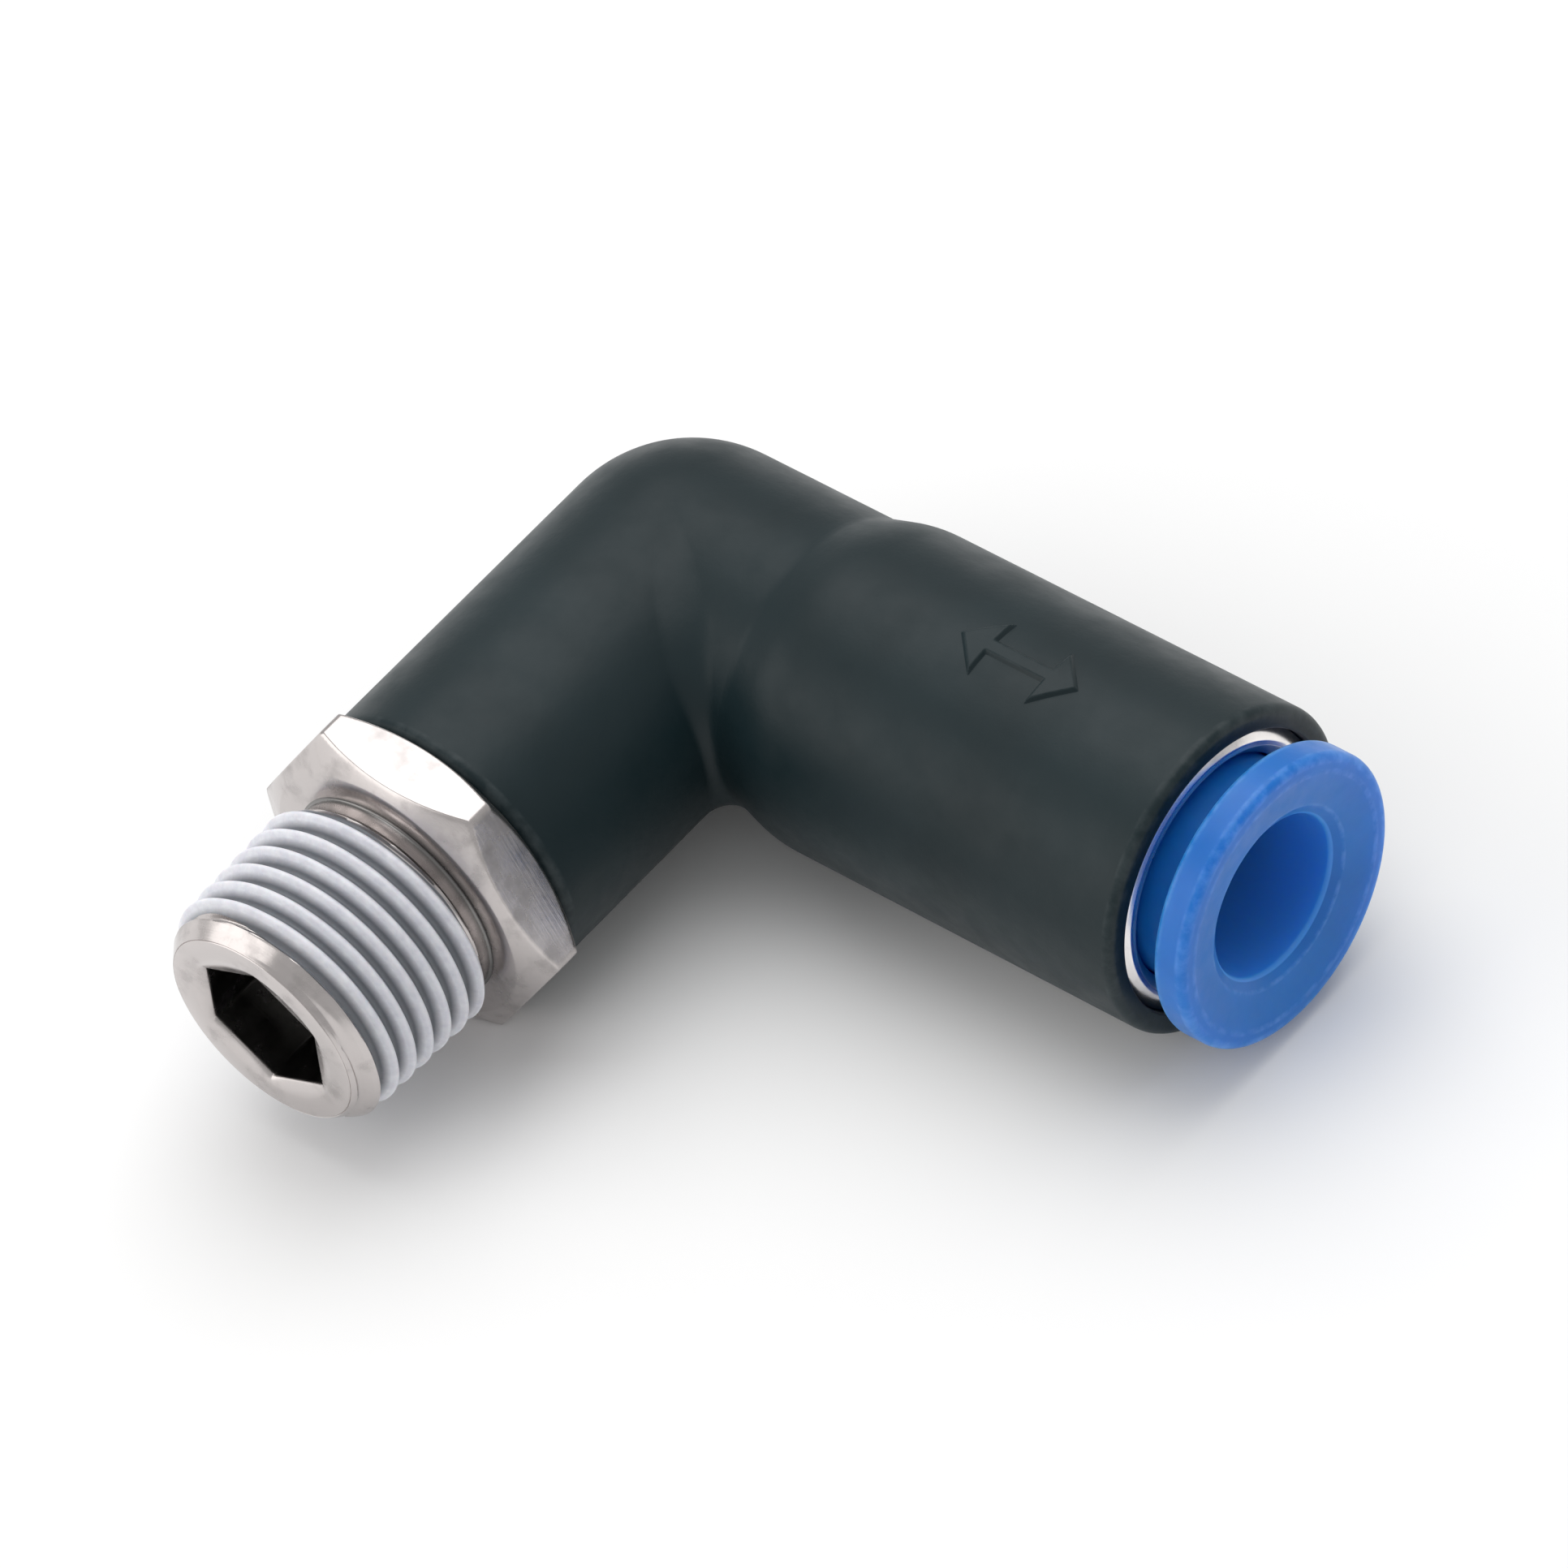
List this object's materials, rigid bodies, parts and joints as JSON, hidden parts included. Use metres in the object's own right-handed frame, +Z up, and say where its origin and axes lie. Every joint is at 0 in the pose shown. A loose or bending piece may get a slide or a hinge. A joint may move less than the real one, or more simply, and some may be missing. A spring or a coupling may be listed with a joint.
{
  "type": "push to connect fitting",
  "caption": "Swivel elbow with a male taper thread on one leg and a push-in tube socket with a release ring on the other.",
  "frame": {"origin": "on the thread axis, in the plane of the hexagon's shoulder where the male thread starts", "axes": "+X along the tube leg, out of the tube socket's mouth; -Y along the thread leg, out of the threaded tip; +Z up with both legs level"},
  "size_m": [0.0341, 0.0299, 0.0126],
  "materials": {
    "body_resin": "satin black PBT",
    "nickel": "bright nickel plate on brass",
    "sealant": "dry fluoropolymer sealant, faint lavender white",
    "rubber": "black nitrile rubber",
    "spacer_resin": "natural acetal",
    "spring_steel": "stainless spring steel",
    "release_blue": "blue acetal"
  },
  "bodies": {
    "elbow": {"elbow_body": "body_resin", "guide_ring": "nickel", "backing_ring": "spacer_resin", "elastic_sleeve": "rubber"},
    "stud": {"threaded_stud": "nickel", "thread_sealant": "sealant", "swivel_o_ring": "rubber"},
    "claws": {"lock_claws": "spring_steel"},
    "release": {"release_ring": "release_blue"}
  },
  "joints": [
    {"name": "stud_swivel", "type": "hinge", "parent": "elbow", "child": "stud", "pos_m": [0, 0, 0], "axis": [0, -1, 0], "continuous": true},
    {"name": "claw_spin", "type": "hinge", "parent": "elbow", "child": "claws", "pos_m": [0.0201, 0.0163, 0], "axis": [1, 0, 0], "continuous": true},
    {"name": "release_push", "type": "slide", "parent": "claws", "child": "release", "axis": [-1, 0, 0], "range_m": [0, 0.0011], "stiffness_N_per_m": 3000, "deforming": ["lock_claws"]}
  ]
}
